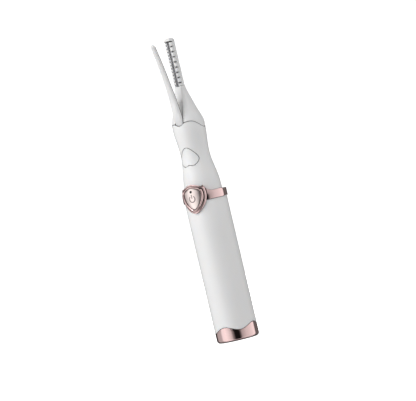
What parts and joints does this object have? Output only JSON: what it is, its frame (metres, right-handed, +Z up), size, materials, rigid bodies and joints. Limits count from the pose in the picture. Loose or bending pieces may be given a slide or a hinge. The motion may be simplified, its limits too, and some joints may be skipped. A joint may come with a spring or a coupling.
{
  "type": "heated eyelash curler",
  "caption": "White rechargeable heated eyelash curler with a slim waisted neck, comb head and hinged clamp arm, rose-gold ring, shield-shaped power button and wavy rose-gold end cap",
  "frame": {"origin": "centre of the flat underside of the end cap, on the handle's axis", "axes": "+Z up the handle to the comb; +Y to the back, so the shield, the buttons and the clamp arm face -Y; +X across the comb towards the row of round gaps"},
  "size_m": [0.0236, 0.0288, 0.1607],
  "materials": {
    "white_gloss": "moulded ABS with a polished mould finish",
    "white_head": "moulded heat-resistant plastic, soft gloss",
    "rose_metal": "vacuum-plated rose gold",
    "plate_satin": "pale rose satin plating",
    "symbol_ink": "grey inlaid power symbol",
    "smoked_lens": "dark clear lens",
    "heater_metal": "dark anodised heating strip",
    "heater_ceramic": "sintered heater wafer",
    "chip_black": "moulded epoxy",
    "inner_plastic": "unpolished ABS",
    "steel": "bright steel",
    "pad_silicone": "translucent grey silicone",
    "board_green": "solder-masked board",
    "plunger_white": "moulded nylon",
    "cell_wrap": "shrink-wrapped steel can",
    "wire_sleeve": "silicone insulation"
  },
  "bodies": {
    "handle": {"handle_sleeve": "white_gloss", "end_cap": "rose_metal", "neck_shell": "white_gloss", "trim_ring": "rose_metal", "shield_bezel": "rose_metal", "comb_base": "white_head", "comb_frame": "white_head", "heater_bar": "heater_metal", "ceramic_heater": "heater_ceramic", "temperature_sensor": "chip_black", "pivot_bracket": "inner_plastic", "arm_pin": "steel", "rocker_pin": "steel", "head_gasket": "pad_silicone", "chassis": "inner_plastic", "main_board": "board_green", "board_chips": "chip_black", "board_screws": "steel", "tact_switch": "chip_black", "indicator_led": "smoked_lens", "battery_cell": "cell_wrap", "battery_tabs": "steel", "battery_wires": "wire_sleeve", "heater_leads": "wire_sleeve", "charge_board": "board_green", "charging_socket": "steel", "socket_tongue": "chip_black"},
    "arm": {"clamp_arm": "white_head", "clamp_pad": "pad_silicone", "return_spring": "steel"},
    "rocker": {"rocker_lever": "inner_plastic"},
    "clamp_key": {"clamp_button": "white_gloss"},
    "power_key": {"power_button": "plate_satin", "power_symbol": "symbol_ink", "led_window": "smoked_lens"},
    "plunger": {"switch_plunger": "plunger_white"}
  },
  "joints": [
    {"name": "clamp_hinge", "type": "hinge", "parent": "handle", "child": "arm", "pos_m": [0, -0.0053, 0.1134], "axis": [-1, 0, 0], "range_deg": [0, 16], "stiffness_Nm_per_rad": 0.003, "springref_deg": -14.32},
    {"name": "rocker_pivot", "type": "hinge", "parent": "handle", "child": "rocker", "pos_m": [0, 0.0005, 0.1025], "axis": [1, 0, 0], "range_deg": [0, 16]},
    {"name": "clamp_button_slide", "type": "slide", "parent": "handle", "child": "clamp_key", "axis": [0, 1, 0], "range_m": [0, 0.0014]},
    {"name": "power_button_slide", "type": "slide", "parent": "handle", "child": "power_key", "axis": [0, 1, 0], "range_m": [0, 0.0005], "stiffness_N_per_m": 800, "springref_m": -0.0005},
    {"name": "plunger_slide", "type": "slide", "parent": "handle", "child": "plunger", "axis": [0, 1, 0], "range_m": [0, 0.0005]}
  ],
  "couplings": [
    {"joint": "rocker_pivot", "follows": "clamp_hinge", "ratio": 0.97},
    {"joint": "clamp_button_slide", "follows": "clamp_hinge", "m_per_rad": 0.005},
    {"joint": "plunger_slide", "follows": "power_button_slide", "ratio": 1}
  ]
}
